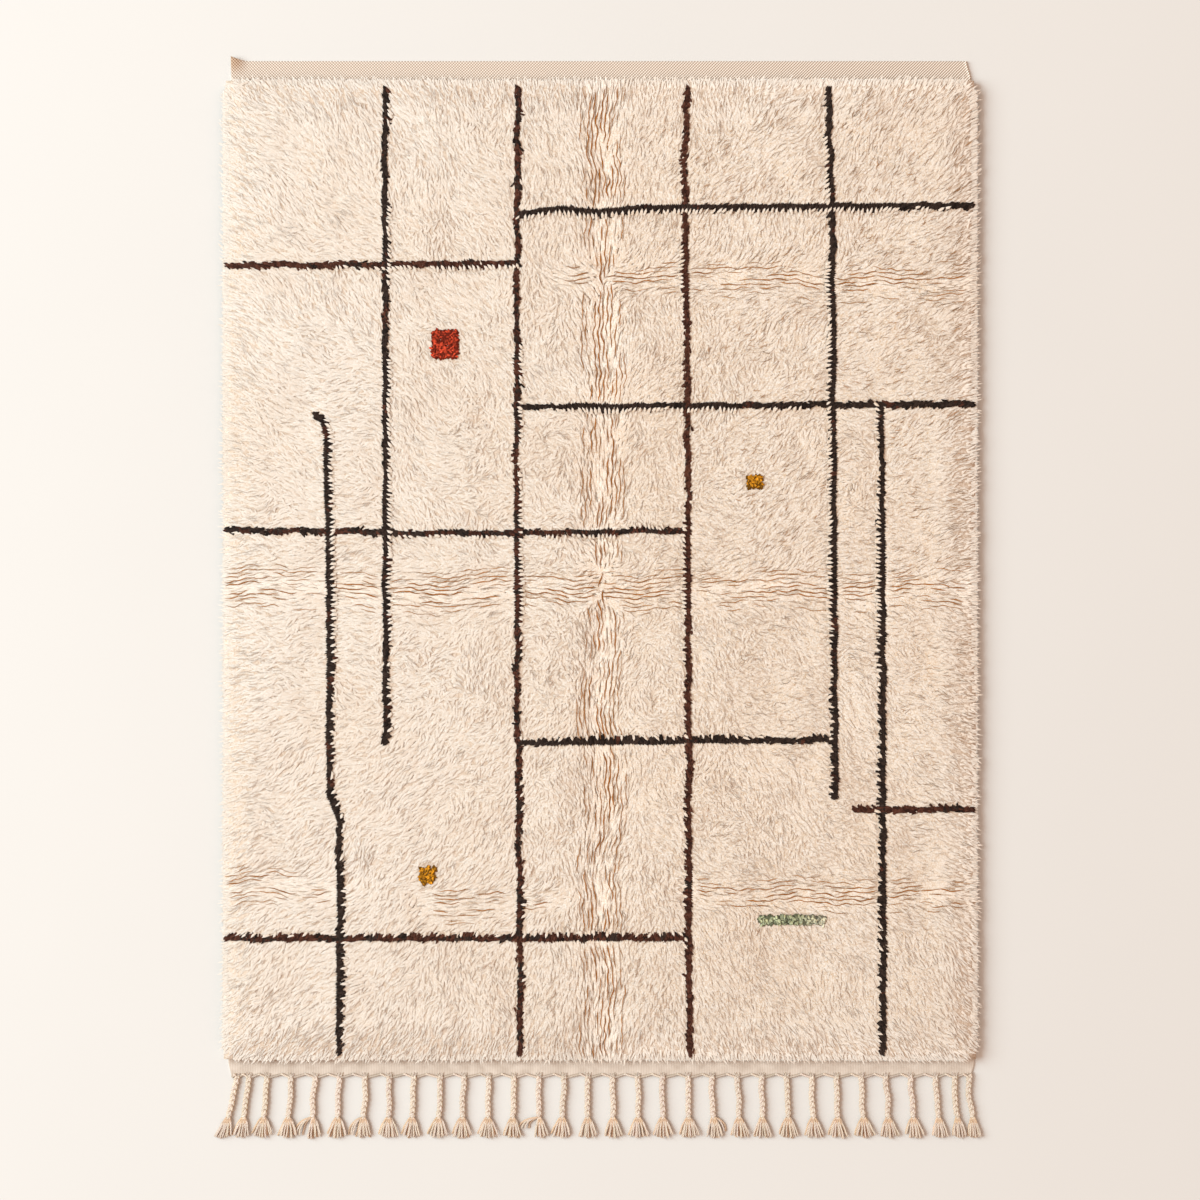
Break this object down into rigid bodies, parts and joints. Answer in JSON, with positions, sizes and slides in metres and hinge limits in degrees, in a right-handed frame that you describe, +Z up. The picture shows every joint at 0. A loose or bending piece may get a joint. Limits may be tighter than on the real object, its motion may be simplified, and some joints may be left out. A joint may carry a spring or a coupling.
{
  "type": "beni ourain rug",
  "caption": "Thick cream wool shag rug with dark wandering lines and small coloured accents, flat-woven ends and a fringe of plaited tassels on one end.",
  "frame": {"origin": "on the floor, under the middle of the whole rug with its fringe", "axes": "+Y along the rug's length towards the end without a fringe, +X to the right seen from above, +Z up out of the shag"},
  "size_m": [1.5198, 2.1361, 0.0332],
  "materials": {
    "ground_weave": "natural cotton and wool flat weave, matte",
    "shag_wool": "long cream wool shag, soft and matte",
    "fringe_yarn": "plied natural yarn, plaited, matte"
  },
  "bodies": {
    "root": {"ground": "ground_weave", "pile": "shag_wool", "fringe": "fringe_yarn"}
  },
  "joints": []
}
